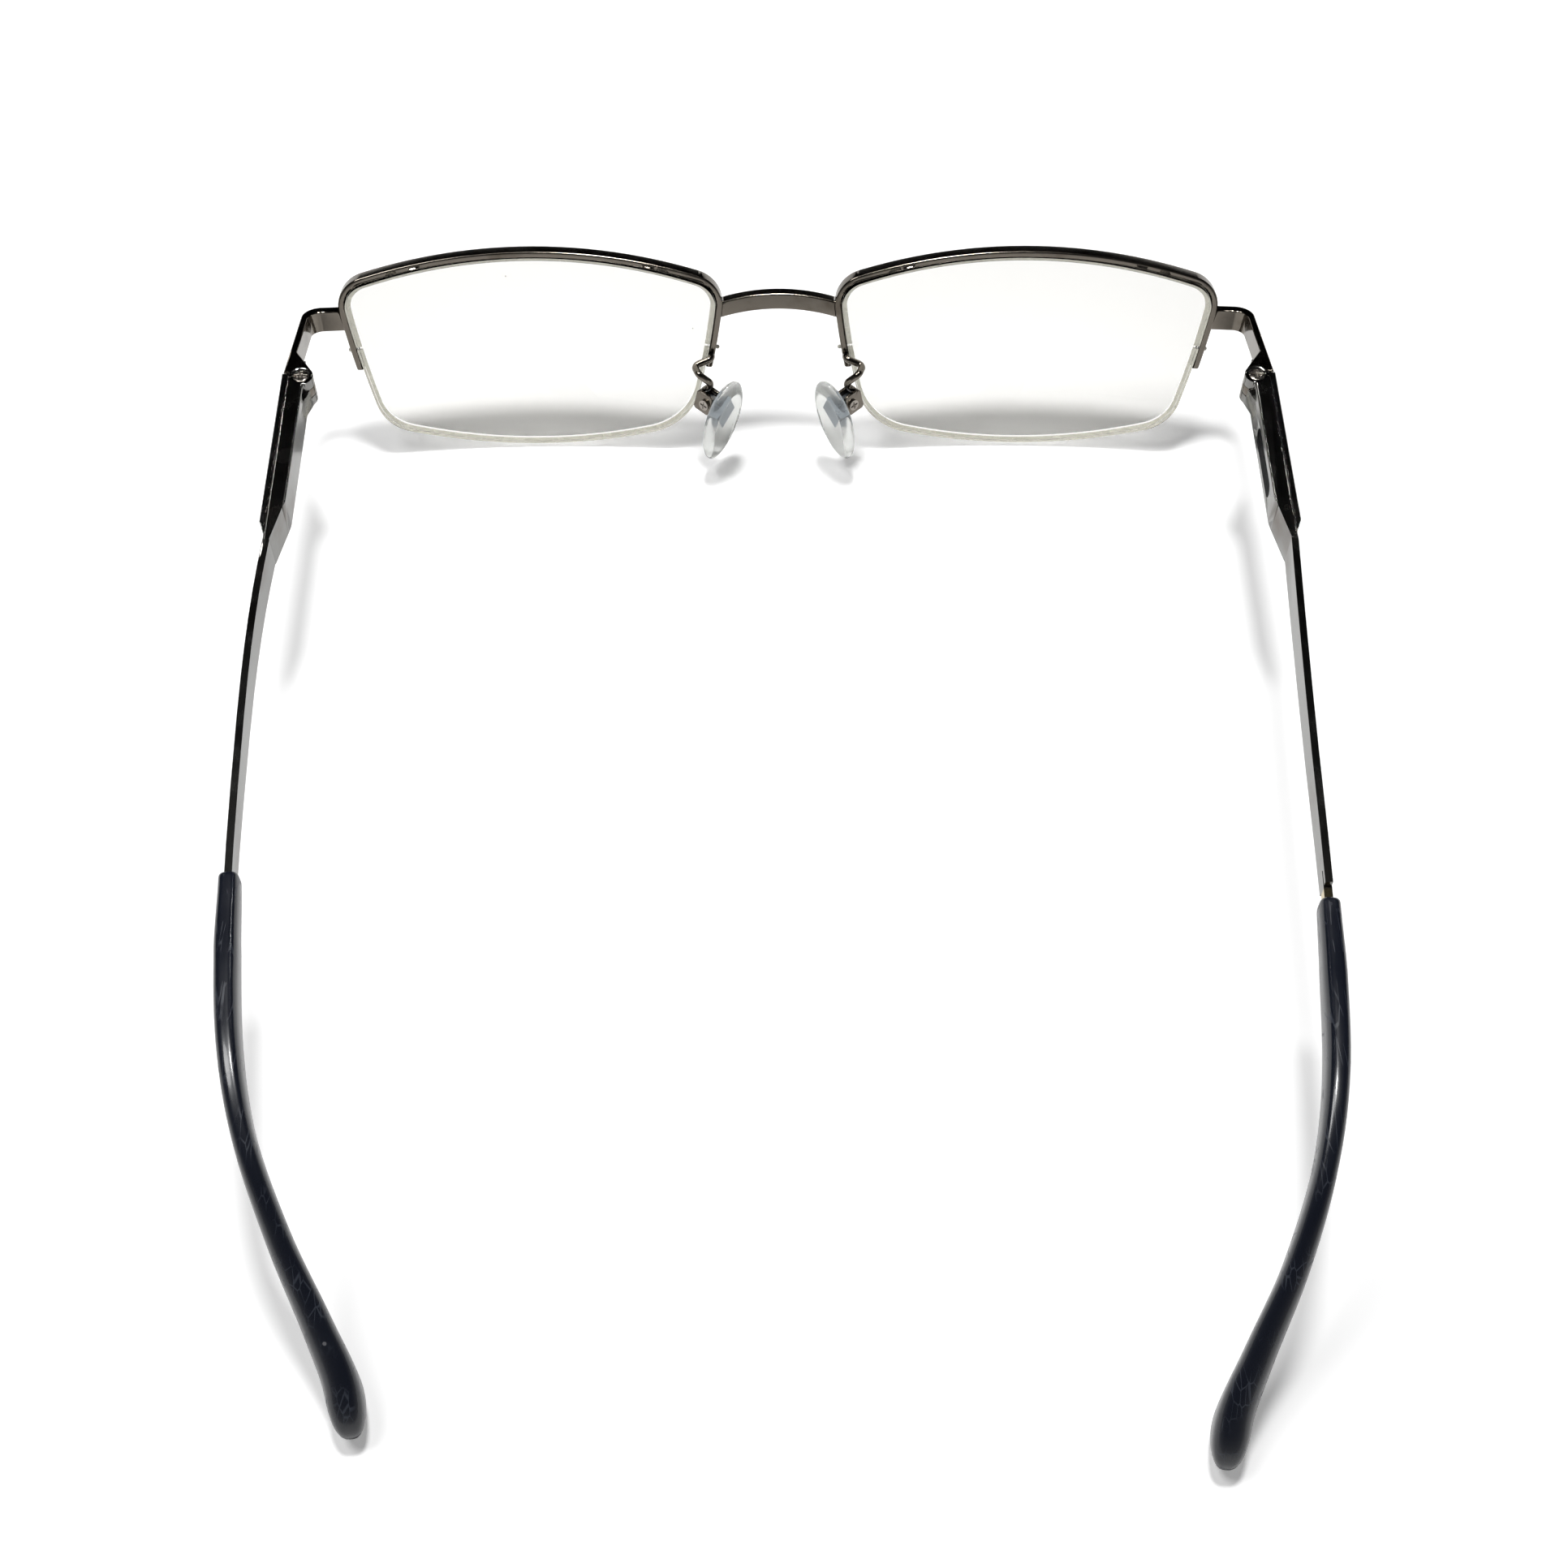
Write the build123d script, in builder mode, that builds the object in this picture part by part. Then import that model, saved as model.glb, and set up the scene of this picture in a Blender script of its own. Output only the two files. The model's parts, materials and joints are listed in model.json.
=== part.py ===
from build123d import *
import os
from math import cos, radians, sin, tan

# Half-rim eyeglasses, standing open on the lens bottoms and the two temple ends. Millimetres.
# +X is the wearer's right, +Y the way the wearer looks, +Z up.
# Each side is drawn on the right with its hinge screw at y = 0, and the left is the mirror of it.

os.makedirs("parts", exist_ok=True)

# Lenses: 51 mm wide, 18 mm apart
lens_width = 51.0
lens_height = 28.6
bridge_gap = 18.0
lens_x = (bridge_gap + lens_width) / 2
lens_y = 13.7                   # lens bottoms, in front of the hinge screws
pantoscopic_angle = 19.4        # the lens tops lean forward
wrap_angle = 0.9
lens_middle_thickness = 1.7
lens_front_radius = 150.0
lens_rear_radius = 100.0
edge_radius = 130.0             # the groove, rim and cord follow this sphere
lens_corner_overrun = 0.4       # upper corners, before rounding, outside the lens width
lens_side_drop = 3.7            # upper corners below the middle of the top
lens_bottom_rise = 4.0          # lower corners above the middle of the bottom
lens_bottom_inset = 3.6         # lower corners inside the lens width
lens_side_bulge = 0.5           # the sides bow out this much
lens_top_corner = 3.4
lens_bottom_outer_corner = 6.5  # on the temple side
lens_bottom_inner_corner = 10.0
groove_width = 0.64
groove_depth = 0.55
part_gap = 0.03                 # between pieces of one body that touch

# Rim, its liner and the lens cord
rim_seat_gap = 0.04
rim_thickness = 0.95
rim_depth = 2.2
rim_end_below = 16.0            # the rim's two ends, below the lens height
rim_end_height = lens_height - rim_end_below
rim_channel_depth = 0.45
liner_width = 0.56
cord_width = 0.52
cord_end_radius = 0.24
cord_bead_radius = 0.29
cord_bore_below = 13.3          # below the lens height
cord_bore_height = lens_height - cord_bore_below
cord_end_gap = 0.3

# Bridge strap
bridge_below = 6.5              # its two ends, below the lens height
bridge_top = lens_height - bridge_below
bridge_height = 2.35
bridge_arch = 1.2
bridge_thickness = 1.9
bridge_setback = 1.7            # its ends behind the lens plane
bridge_bow = 0.8
bridge_edge = 0.25

# Hinge: the end piece has the middle knuckle, the temple the two outer ones
hinge_outset = 3.6              # screw beyond the lens edge
hinge_x = lens_x + lens_width / 2 + hinge_outset
hinge_below = 1.6               # its top, below the lens height
hinge_top = lens_height - hinge_below
knuckle_radius = 1.6
knuckle_height = 1.42
knuckle_gap = 0.06
swing_gap = 0.15
butt_y = 0.65                   # rear face of the end piece
screw_radius = 0.70
screw_clearance = 0.04
thread_gap = 0.02
screw_head_radius = 1.08
screw_head_height = 0.62
screw_slot_width = 0.34
leaf_length = 5.4
leaf_thickness = 1.3
leaf_flare = 3.4

# End piece
strap_outer_x = hinge_x + 2.4
strap_thickness = 0.95
strap_height = 3.7
strap_climb = 0.30              # it rises this much for each mm towards the hinge
strap_front_y = 17.8
strap_front_thickness = 1.4
strap_front_sweep = 0.5
strap_corner = 2.6
strap_edge = 0.2
strap_flare = 4.4               # length of the wider part at the hinge
strap_flare_x = hinge_x - 1.0
tenon_width = 1.4
tenon_length = 3.5

# Temple
block_inner_x = hinge_x - 0.4
block_outer_x = hinge_x + 1.85
block_height = 5.0
block_length = 21.5
block_taper = 6.5
block_edge = 0.3
band_thickness = 0.9
band_front_height = 4.6
band_rear_height = 3.2
band_end = 78.5                 # shoulder where the band becomes the core of the sleeve
temple_z = hinge_top - block_height / 2
core_thickness = 1.0
core_height = 1.5
core_length = 44.0
plate_thickness = 0.7
plate_height = 4.8
plate_length = 25.0
plate_end_slope = 1.9
plate_edge = 0.15
inlay_start = 7.8
inlay_length = 11.2
inlay_height = 2.6
inlay_depth = 0.3

# The temple's middle line seen from above: distances outside and behind the hinge screw
band_line = [(1.4, 28.0), (1.1, 43.0), (0.25, 62.0)]
sleeve_line = [
    (-0.8, 79.0), (-1.4, 86.0), (-2.8, 97.0), (-5.2, 108.0),
    (-8.6, 117.0), (-12.5, 124.5), (-15.1, 130.0), (-16.6, 138.0),
]
sleeve_widths = [2.5, 2.8, 2.7, 2.5, 2.9, 3.5, 4.2, 4.3]
# At each of those points the left temple is bent out and the right one in by this much
temple_lean = [0.0, 0.6, 0.75, 0.75, 0.7, 0.55, 0.4, 0.15, 0.1, 0.1, 0.1]

# Sleeve on the temple end
sleeve_start = 76.5
sleeve_heights = [3.9, 5.0, 5.4, 5.8, 6.9]
sleeve_end_radius = 3.2
bend_start = 97.0
bend_radius = 25.0
bend_angle = 40.0
right_sleeve_slip = 4.0         # the right sleeve has crept back, and bares its core
bend_step = 8.0                 # about this far between the points that shape the bent end

# Nose pads, each on a screw in a small box
pad_pivot = (bridge_gap / 2 + 0.75, lens_y - 3.3, 10.9)
pad_splay = 12.0
pad_lean = 7.0
pad_turn = 40.0
pad_length = 13.8
pad_width = 7.9
pad_thickness = 2.5
pad_edge = 1.0
pad_standoff = 1.45             # back of the pad from the screw
pad_drop = 1.7                  # middle of the pad below the screw
insert_length = 5.6
insert_width = 3.8
insert_thickness = 0.6
insert_cover = 0.6
post_width = 1.1
post_height = 1.8
post_back = 0.9
post_gap = 0.08
box_wall = 0.45
box_height = 3.2
box_back = 1.35
box_front = 0.95
box_edge = 0.55
pad_screw_radius = 0.42
pad_screw_head_radius = 0.78
pad_screw_head_height = 0.4
arm_radius = 0.5
arm_bend = 0.7
arm_root = 0.4                  # the wire's end starts this far inside the rear face of the rim
arm_below = 14.0                # the wire's root, below the lens height
arm_height = lens_height - arm_below
# The wire's corners after its root: from the lens side in, up the lens plane, behind the lens
arm_corners = [(3.0, 13.7, 5.1), (2.3, 13.3, 7.1), (0.4, 11.7, 6.9)]
arm_lead = 1.7

tilt = radians(pantoscopic_angle)
wrap = radians(wrap_angle)
rim_outer = rim_seat_gap + rim_thickness
reach = 9.0                     # cutters run this far past what they cut
front_plane = Plane(origin=(0, lens_y, 0), x_dir=(1, 0, 0), z_dir=(0, -cos(tilt), sin(tilt)))
# The right lens lies in this plane: x towards the temple, y up, z towards the eye
lens_plane = Plane(
    origin=(lens_x, lens_y, 0),
    x_dir=(cos(wrap), -sin(wrap) * cos(tilt), sin(wrap) * sin(tilt)),
    z_dir=(-sin(wrap), -cos(wrap) * cos(tilt), cos(wrap) * sin(tilt)),
)


def behind_lens(distance):
    """Middle of a lens sphere, turned so that its seam and poles stay off the lens."""
    return lens_plane.location * Pos(0, lens_height / 2, distance) * Rot(90, 0, 0)


def across_lens(height):
    """Plane square to the lens at a height, facing up."""
    middle = lens_plane.origin + lens_plane.y_dir * height
    return Plane(middle, x_dir=lens_plane.x_dir, z_dir=lens_plane.y_dir)


# The lens outline is where four large circles overlap: the top, the bottom and the two sides
corner_top_x = lens_width / 2 + lens_corner_overrun
corner_low_x = lens_width / 2 - lens_bottom_inset
corner_top_y = lens_height - lens_side_drop
top_radius = (corner_top_x**2 + lens_side_drop**2) / (2 * lens_side_drop)
bottom_radius = (corner_low_x**2 + lens_bottom_rise**2) / (2 * lens_bottom_rise)
side_chord = Vector(corner_top_x - corner_low_x, corner_top_y - lens_bottom_rise)
side_radius = (side_chord.length**2 / 4 + lens_side_bulge**2) / (2 * lens_side_bulge)
side_inward = Vector(-side_chord.Y, side_chord.X).normalized() * (side_radius - lens_side_bulge)
side_middle = Vector(corner_low_x, lens_bottom_rise) + side_chord / 2 + side_inward


def lens_side_at(height):
    """How far from the middle of the lens its side is, at a height."""
    return side_middle.X + (side_radius**2 - (height - side_middle.Y)**2) ** 0.5


def lens_profile(grow=0.0):
    """Face of the lens outline, grown outwards."""
    with BuildSketch() as outline:
        with Locations((0, lens_height - top_radius)):
            Circle(top_radius + grow)
        with Locations((0, bottom_radius)):
            Circle(bottom_radius + grow, mode=Mode.INTERSECT)
        for mirrored in (1, -1):
            with Locations((mirrored * side_middle.X, side_middle.Y)):
                Circle(side_radius + grow, mode=Mode.INTERSECT)
        for is_top, end, radius in (
            (True, 0, lens_top_corner), (True, -1, lens_top_corner),
            (False, 0, lens_bottom_inner_corner), (False, -1, lens_bottom_outer_corner),
        ):
            half = outline.vertices().filter_by(lambda vertex: (vertex.Y > lens_height / 2) == is_top)
            fillet(half.sort_by(Axis.X)[end], radius + grow)
    return outline.sketch


def edge_band(inner_grow, outer_grow, width):
    """Ring round the lens edge, between two outlines and bent to the lens curve."""
    ring = lens_profile(outer_grow) - lens_profile(inner_grow)
    with BuildPart() as band:
        with BuildSketch(lens_plane.offset(-reach)):
            add(ring)
        extrude(amount=2 * reach)
        with Locations(behind_lens(edge_radius)):
            Sphere(edge_radius + width / 2, mode=Mode.INTERSECT)
            Sphere(edge_radius - width / 2, mode=Mode.SUBTRACT)
    return band.part


# Lens: a thin shell between two spheres, with a groove round its edge
groove_ring = edge_band(-groove_depth, rim_outer, groove_width)
with BuildPart() as lens:
    with BuildSketch(lens_plane.offset(-reach)):
        add(lens_profile())
    extrude(amount=2 * reach)
    with Locations(behind_lens(lens_front_radius - lens_middle_thickness / 2)):
        Sphere(lens_front_radius, mode=Mode.INTERSECT)
    with Locations(behind_lens(lens_rear_radius + lens_middle_thickness / 2)):
        Sphere(lens_rear_radius, mode=Mode.SUBTRACT)
    add(groove_ring, mode=Mode.SUBTRACT)

# Rim: a metal channel over the top and both sides, with a bore for the cord near each end
lens_side_x = lens_side_at(cord_bore_height)
edge_sag = edge_radius - (edge_radius**2 - lens_side_x**2) ** 0.5
bore_x = lens_side_x + rim_outer / 2
cord_bores = [
    lens_plane.location * Pos(side * bore_x, cord_bore_height, edge_sag) * Rot(0, side * 90, 0)
    for side in (1, -1)
]
rim_band = edge_band(rim_seat_gap, rim_outer, rim_depth)
rim_channel = edge_band(-rim_seat_gap, rim_channel_depth + part_gap, liner_width + 2 * part_gap)
with BuildPart() as rim:
    add(rim_band)
    split(bisect_by=across_lens(rim_end_height), keep=Keep.TOP)
    add(rim_channel, mode=Mode.SUBTRACT)
    with Locations(cord_bores):
        Cylinder(cord_end_radius + part_gap, 4 * rim_thickness, mode=Mode.SUBTRACT)

# Liner: a nylon strip, half in the rim's channel and half in the lens groove
liner_band = edge_band(part_gap - groove_depth, rim_channel_depth, liner_width)
with BuildPart() as rim_liner:
    add(liner_band)
    split(bisect_by=across_lens(cord_bore_height + 2 * cord_end_radius + cord_end_gap), keep=Keep.TOP)

# Cord: lies in the groove under the lens, and each end goes out through the rim to a melted bead
cord_band = edge_band(part_gap - groove_depth, -part_gap, cord_width)
with BuildPart() as nylon_cord:
    add(cord_band)
    split(bisect_by=across_lens(cord_bore_height + cord_end_radius + part_gap), keep=Keep.BOTTOM)
    with Locations(cord_bores):
        Cylinder(cord_end_radius, rim_outer + 2 * cord_bead_radius)
    with Locations([bore * Pos(0, 0, rim_outer / 2 + cord_bead_radius) for bore in cord_bores]):
        Sphere(cord_bead_radius)

# Bridge: a strap that bows up and forward between the rims
rim_prism = extrude(lens_plane.offset(-reach) * lens_profile(rim_outer), amount=2 * reach)
left_rim_prism = mirror(rim_prism, about=Plane.YZ)
bridge_half = bridge_gap / 2
bridge_rear = bridge_setback + bridge_thickness / 2
bridge_drop = Vector(0, -bridge_height)
bridge_step = Vector(0, bridge_thickness)
with BuildPart() as bridge:
    with BuildSketch(front_plane.offset(-reach)):
        with BuildLine():
            upper = ThreePointArc(
                (-bridge_half, bridge_top), (0, bridge_top + bridge_arch), (bridge_half, bridge_top)
            )
            lower = ThreePointArc(
                upper @ 0 + bridge_drop, upper @ 0.5 + bridge_drop, upper @ 1 + bridge_drop
            )
            Line(upper @ 0, lower @ 0)
            Line(upper @ 1, lower @ 1)
        make_face()
    extrude(amount=2 * reach)
    with BuildSketch(Plane(front_plane.origin, x_dir=(1, 0, 0), z_dir=front_plane.y_dir)):
        with BuildLine():
            back = ThreePointArc(
                (-bridge_half, -bridge_rear), (0, bridge_bow - bridge_rear), (bridge_half, -bridge_rear)
            )
            face = ThreePointArc(
                back @ 0 + bridge_step, back @ 0.5 + bridge_step, back @ 1 + bridge_step
            )
            Line(back @ 0, face @ 0)
            Line(back @ 1, face @ 1)
        make_face()
    extrude(amount=2 * lens_height, mode=Mode.INTERSECT)
    fillet(bridge.edges().filter_by(lambda edge: edge.length > bridge_half), bridge_edge)
    add(rim_prism, mode=Mode.SUBTRACT)
    add(left_rim_prism, mode=Mode.SUBTRACT)

# End piece: leaves the side of the rim, turns the corner and climbs back to the hinge
middle_top = hinge_top - knuckle_height - knuckle_gap
lower_top = middle_top - knuckle_height - knuckle_gap
strap_inner_x = strap_outer_x - strap_thickness
strap_start_x = lens_x + lens_width / 2 - rim_thickness
strap_rear_y = strap_front_y - strap_front_thickness
tenon_x = strap_inner_x - tenon_width / 2
with BuildPart() as end_piece:
    with BuildSketch(Plane.XY):
        with BuildLine():
            outer = FilletPolyline(
                (strap_start_x, strap_front_y + strap_front_sweep), (strap_outer_x, strap_front_y),
                (strap_outer_x, butt_y), radius=strap_corner,
            )
            inner = FilletPolyline(
                (strap_flare_x, knuckle_radius), (strap_inner_x, knuckle_radius + strap_flare),
                (strap_inner_x, strap_rear_y), (strap_start_x, strap_rear_y + strap_front_sweep),
                radius=strap_corner - strap_thickness,
            )
            Polyline(outer @ 1, (strap_flare_x, butt_y), inner @ 0)
            Line(inner @ 1, outer @ 0)
        make_face()
    extrude(amount=hinge_top + reach)
    with BuildSketch(Plane.YZ):
        with BuildLine():
            rim_end_y = strap_front_y + reach
            fall = strap_climb * (rim_end_y - butt_y)
            Polyline(
                (butt_y, hinge_top), (rim_end_y, hinge_top - fall),
                (rim_end_y, hinge_top - fall - strap_height), (butt_y, hinge_top - strap_height),
                close=True,
            )
        make_face()
    extrude(amount=strap_outer_x + reach, mode=Mode.INTERSECT)
    fillet(end_piece.edges().filter_by(lambda edge: edge.length > strap_flare), strap_edge)
    add(rim_prism, mode=Mode.SUBTRACT)
    with Locations((hinge_x, 0, hinge_top)):
        Cylinder(knuckle_radius + swing_gap, 4 * strap_height, mode=Mode.SUBTRACT)
    with Locations((tenon_x, butt_y, middle_top - knuckle_height - part_gap)):
        Box(
            tenon_width + 2 * part_gap, 2 * (tenon_length + part_gap), knuckle_height + 2 * part_gap,
            align=(Align.CENTER, Align.CENTER, Align.MIN), mode=Mode.SUBTRACT,
        )

# Front hinge: the middle knuckle, with a tenon brazed into the end piece
knuckle_plane = Plane((hinge_x, 0, middle_top - knuckle_height))
with BuildPart() as front_hinge:
    with BuildSketch(knuckle_plane):
        Circle(knuckle_radius)
        with Locations((tenon_x - hinge_x, 0)):
            Rectangle(tenon_width, butt_y + tenon_length, align=(Align.CENTER, Align.MIN))
    extrude(amount=knuckle_height)
    with Locations((hinge_x, 0, middle_top)):
        Hole(screw_radius + screw_clearance)

# Temple hinge: the lower knuckle on a leaf brazed into the inside of the temple
lower_base = lower_top - knuckle_height
leaf_height = middle_top - lower_base
leaf_inner = block_inner_x - hinge_x
with BuildPart() as temple_hinge:
    with BuildSketch(Plane((hinge_x, 0, lower_base))):
        Circle(knuckle_radius)
        with BuildLine():
            Polyline(
                (-knuckle_radius, 0), (leaf_inner, -leaf_flare), (leaf_inner, -leaf_length),
                (leaf_inner + leaf_thickness, -leaf_length), (leaf_inner + leaf_thickness, 0), close=True,
            )
        make_face()
    extrude(amount=leaf_height)
    with Locations((hinge_x, 0, lower_top)):
        Cylinder(
            knuckle_radius + swing_gap, leaf_height,
            align=(Align.CENTER, Align.CENTER, Align.MIN), mode=Mode.SUBTRACT,
        )
    with Locations((hinge_x, 0, lower_top)):
        Hole(screw_radius + thread_gap)

# Hinge screw: head in the temple's upper knuckle, thread in the lower one
with BuildPart() as hinge_screw:
    with BuildSketch(Plane((hinge_x, 0, lower_base))):
        Circle(screw_radius)
    extrude(amount=hinge_top - screw_head_height - lower_base)
    with BuildSketch(Plane((hinge_x, 0, hinge_top - screw_head_height))):
        Circle(screw_head_radius)
    extrude(amount=screw_head_height)
    chamfer(hinge_screw.edges().group_by(Axis.Z)[-1], screw_slot_width / 3)
    with BuildSketch(Plane((hinge_x, 0, hinge_top))):
        Rectangle(screw_slot_width, 1.5 * screw_head_radius)
        Rectangle(1.5 * screw_head_radius, screw_slot_width)
    extrude(amount=-screw_slot_width, mode=Mode.SUBTRACT)


def strip(points, widths):
    """Face between two smooth edges, either side of a line of points."""
    middle = Spline(*points, mode=Mode.PRIVATE)
    normals = [(middle % middle.param_at_point(point)).rotate(Axis.Z, 90) for point in points]
    left = [Vector(p) + n * w / 2 for p, n, w in zip(points, normals, widths)]
    right = [Vector(p) - n * w / 2 for p, n, w in zip(points, normals, widths)]
    with BuildSketch() as face:
        with BuildLine():
            Spline(*left)
            Spline(*right)
            Line(left[0], right[0])
            Line(left[-1], right[-1])
        make_face()
    return face.sketch


def rod(plan, side):
    """Solid with one face as its outline from above, and the other from the side."""
    with BuildPart() as body:
        with BuildSketch(Plane.XY):
            add(plan)
        extrude(amount=hinge_top + reach)
        with BuildSketch(Plane.YZ):
            add(side)
        extrude(amount=strap_outer_x + reach, mode=Mode.INTERSECT)
    return body.part


def temple_plan(widths, slip, lean):
    """Strip along the whole temple from above, leaning in, with the sleeve's part of it moved back."""
    line = band_line + [(out, back + slip) for out, back in sleeve_line]
    points = [(hinge_x + out - lean * shift, -back) for (out, back), shift in zip(line, temple_lean)]
    return strip(points, widths)


def bend_points(start, length, slip):
    """Points down the middle of the bent end, from a distance behind the hinge: y and z."""
    turn = radians(bend_angle)
    straight = bend_start + slip - start
    arc = bend_radius * turn
    points = []
    count = max(5, round(length / bend_step))
    for step in range(count + 1):
        run = length * step / count
        angle = min(max(run - straight, 0) / bend_radius, turn)
        past = max(run - straight - arc, 0)
        y = start + min(run, straight) + bend_radius * sin(angle) + past * cos(turn)
        z = temple_z - bend_radius * (1 - cos(angle)) - past * sin(turn)
        points.append((-y, z))
    return points


def core_part(grow, slip, lean):
    """The wire inside the sleeve, grown for the sleeve's bore."""
    points = bend_points(band_end - 2, core_length + slip, slip)
    plan_widths = [core_thickness + 2 * grow] * (len(band_line) + len(sleeve_line))
    plan = temple_plan(plan_widths, slip, lean)
    return rod(plan, strip(points, [core_height + 2 * grow] * len(points)))


def band_part(grow, slip, lean):
    """The flat spring band between the hinge block and the sleeve."""
    start = block_length + block_taper - 1
    with BuildSketch() as side:
        with BuildLine():
            Polyline(
                (-start, temple_z + band_front_height / 2), (-start, temple_z - band_front_height / 2),
                (-band_end, temple_z - band_rear_height / 2 - grow),
                (-band_end, temple_z + band_rear_height / 2 + grow), close=True,
            )
        make_face()
    plan_widths = [band_thickness + 2 * grow] * (len(band_line) + len(sleeve_line))
    return rod(temple_plan(plan_widths, slip, lean), side.sketch)


def block_part():
    """The solid front end of the temple, which carries the upper knuckle."""
    butt = butt_y - swing_gap
    taper_end = -block_length - block_taper
    with BuildPart() as block:
        with BuildSketch(Plane.XY.offset(temple_z - block_height / 2)):
            with BuildLine():
                Polyline(
                    (block_inner_x, butt), (block_outer_x, butt), (block_outer_x, taper_end),
                    (block_outer_x - band_thickness, taper_end), (block_inner_x, -block_length), close=True,
                )
            make_face()
        extrude(amount=block_height)
        fillet(block.edges().filter_by(Axis.Y).filter_by(lambda edge: edge.length > leaf_length), block_edge)
        with Locations((hinge_x, 0, hinge_top)):
            Cylinder(knuckle_radius, knuckle_height, align=(Align.CENTER, Align.CENTER, Align.MAX))
        with Locations((hinge_x, 0, hinge_top - knuckle_height)):
            Cylinder(
                knuckle_radius + swing_gap, block_height,
                align=(Align.CENTER, Align.CENTER, Align.MAX), mode=Mode.SUBTRACT,
            )
        with Locations((block_inner_x, butt, lower_base - part_gap)):
            Box(
                2 * (leaf_thickness + part_gap), 2 * (leaf_length + butt + part_gap),
                leaf_height + 2 * part_gap,
                align=(Align.CENTER, Align.CENTER, Align.MIN), mode=Mode.SUBTRACT,
            )
        with Locations((hinge_x, 0, hinge_top)):
            CounterBoreHole(
                screw_radius + screw_clearance, screw_head_radius + screw_clearance,
                screw_head_height + part_gap, depth=2 * knuckle_height,
            )
    return block.part


def sleeve_part(slip, lean):
    """The plastic sleeve: flat and thin at its mouth, thick and rounded where it ends."""
    start = sleeve_start + slip
    turn = radians(bend_angle)
    straight = bend_start - sleeve_start
    fall = temple_z - bend_radius * (1 - cos(turn)) - sleeve_end_radius
    length = straight + bend_radius * turn + fall / sin(turn)
    points = bend_points(start, length, slip)
    last = len(points) - 1
    heights = []
    for step in range(len(points)):
        place = step / last * (len(sleeve_heights) - 1)
        low = min(int(place), len(sleeve_heights) - 2)
        heights.append(sleeve_heights[low] + (sleeve_heights[low + 1] - sleeve_heights[low]) * (place - low))
    heights[-1] = 2 * sleeve_end_radius
    with BuildSketch() as side:
        add(strip(points, heights))
        with Locations(points[-1]):
            Circle(sleeve_end_radius)
    widths = [sleeve_widths[0]] * len(band_line) + sleeve_widths
    return rod(temple_plan(widths, slip, lean), side.sketch)


inlay_middle = (block_inner_x, -inlay_start - inlay_length / 2, temple_z)
inlay_plane = Plane(inlay_middle, x_dir=(0, 1, 0), z_dir=(1, 0, 0))
temples = {}
sleeves = {}
for side_name, slip, lean in (("left", 0.0, -1), ("right", right_sleeve_slip, 1)):
    block, band, core = block_part(), band_part(0, slip, lean), core_part(0, slip, lean)
    bore_band, bore_core = band_part(part_gap, slip, lean), core_part(part_gap, slip, lean)
    shell = sleeve_part(slip, lean)
    # Temple: hinge block, spring band and sleeve core in one piece
    with BuildPart() as temple:
        add(block)
        add(band)
        add(core)
        if side_name == "right":
            with BuildSketch(inlay_plane):
                SlotOverall(inlay_length, inlay_height)
            extrude(amount=inlay_depth, mode=Mode.SUBTRACT)
    with BuildPart() as temple_tip:
        add(shell)
        add(bore_band, mode=Mode.SUBTRACT)
        add(bore_core, mode=Mode.SUBTRACT)
    temples[side_name] = temple
    sleeves[side_name] = temple_tip

# Inlay: black enamel in a recess of the right temple
with BuildPart() as temple_inlay:
    with BuildSketch(inlay_plane):
        SlotOverall(inlay_length - 2 * part_gap, inlay_height - 2 * part_gap)
    extrude(amount=inlay_depth)

# Plate on the outside of the temple, with a sloping rear end
plate_x = block_outer_x + part_gap
plate_face = plate_x + plate_thickness
plate_start = butt_y - swing_gap
with BuildPart() as temple_plate:
    with BuildSketch(Plane.XY.offset(temple_z - plate_height / 2)):
        with BuildLine():
            Polyline(
                (plate_x, plate_start), (plate_face, plate_start), (plate_face, -plate_length),
                (plate_x, -plate_length - plate_end_slope), close=True,
            )
        make_face()
    extrude(amount=plate_height)
    fillet(temple_plate.faces().sort_by(Axis.X)[-1].edges(), plate_edge)

# Nose pad group, in the pad's own plane: x to the rear along the screw, y up, z towards the nose
pad_up = Vector(-tan(radians(pad_splay)), tan(radians(pad_lean)), 1).normalized()
pad_across = Vector(sin(radians(pad_turn)), -cos(radians(pad_turn)), 0)
pad_across = (pad_across - pad_up * pad_across.dot(pad_up)).normalized()
pad_plane = Plane(origin=pad_pivot, x_dir=pad_across, z_dir=pad_across.cross(pad_up))
screw_plane = Plane(origin=pad_pivot, x_dir=pad_up, z_dir=pad_across)


def insert_body(grow):
    """Diamond plate inside the pad, and the post that the screw passes."""
    with BuildPart() as body:
        with BuildSketch(pad_plane.offset(pad_standoff + insert_cover - grow)):
            half_length, half_width = insert_length / 2 + grow, insert_width / 2 + grow
            Polygon((0, half_length), (half_width, 0), (0, -half_length), (-half_width, 0))
        extrude(amount=insert_thickness + 2 * grow)
        with BuildSketch(pad_plane.offset(-post_back)):
            Rectangle(post_width + 2 * grow, post_height + 2 * grow)
        extrude(amount=post_back + pad_standoff + insert_cover)
    return body.part


plain_insert, insert_cavity = insert_body(0), insert_body(part_gap)
with BuildPart() as pad_insert:
    add(plain_insert)
    with Locations(screw_plane.location):
        Cylinder(pad_screw_radius + screw_clearance, 2 * post_width, mode=Mode.SUBTRACT)

with BuildPart() as nose_pad:
    with BuildSketch(pad_plane.offset(pad_standoff)):
        with Locations((0, -pad_drop)):
            Ellipse(pad_width / 2, pad_length / 2)
    extrude(amount=pad_thickness)
    fillet(nose_pad.edges(), pad_edge)
    add(insert_cavity, mode=Mode.SUBTRACT)

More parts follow.
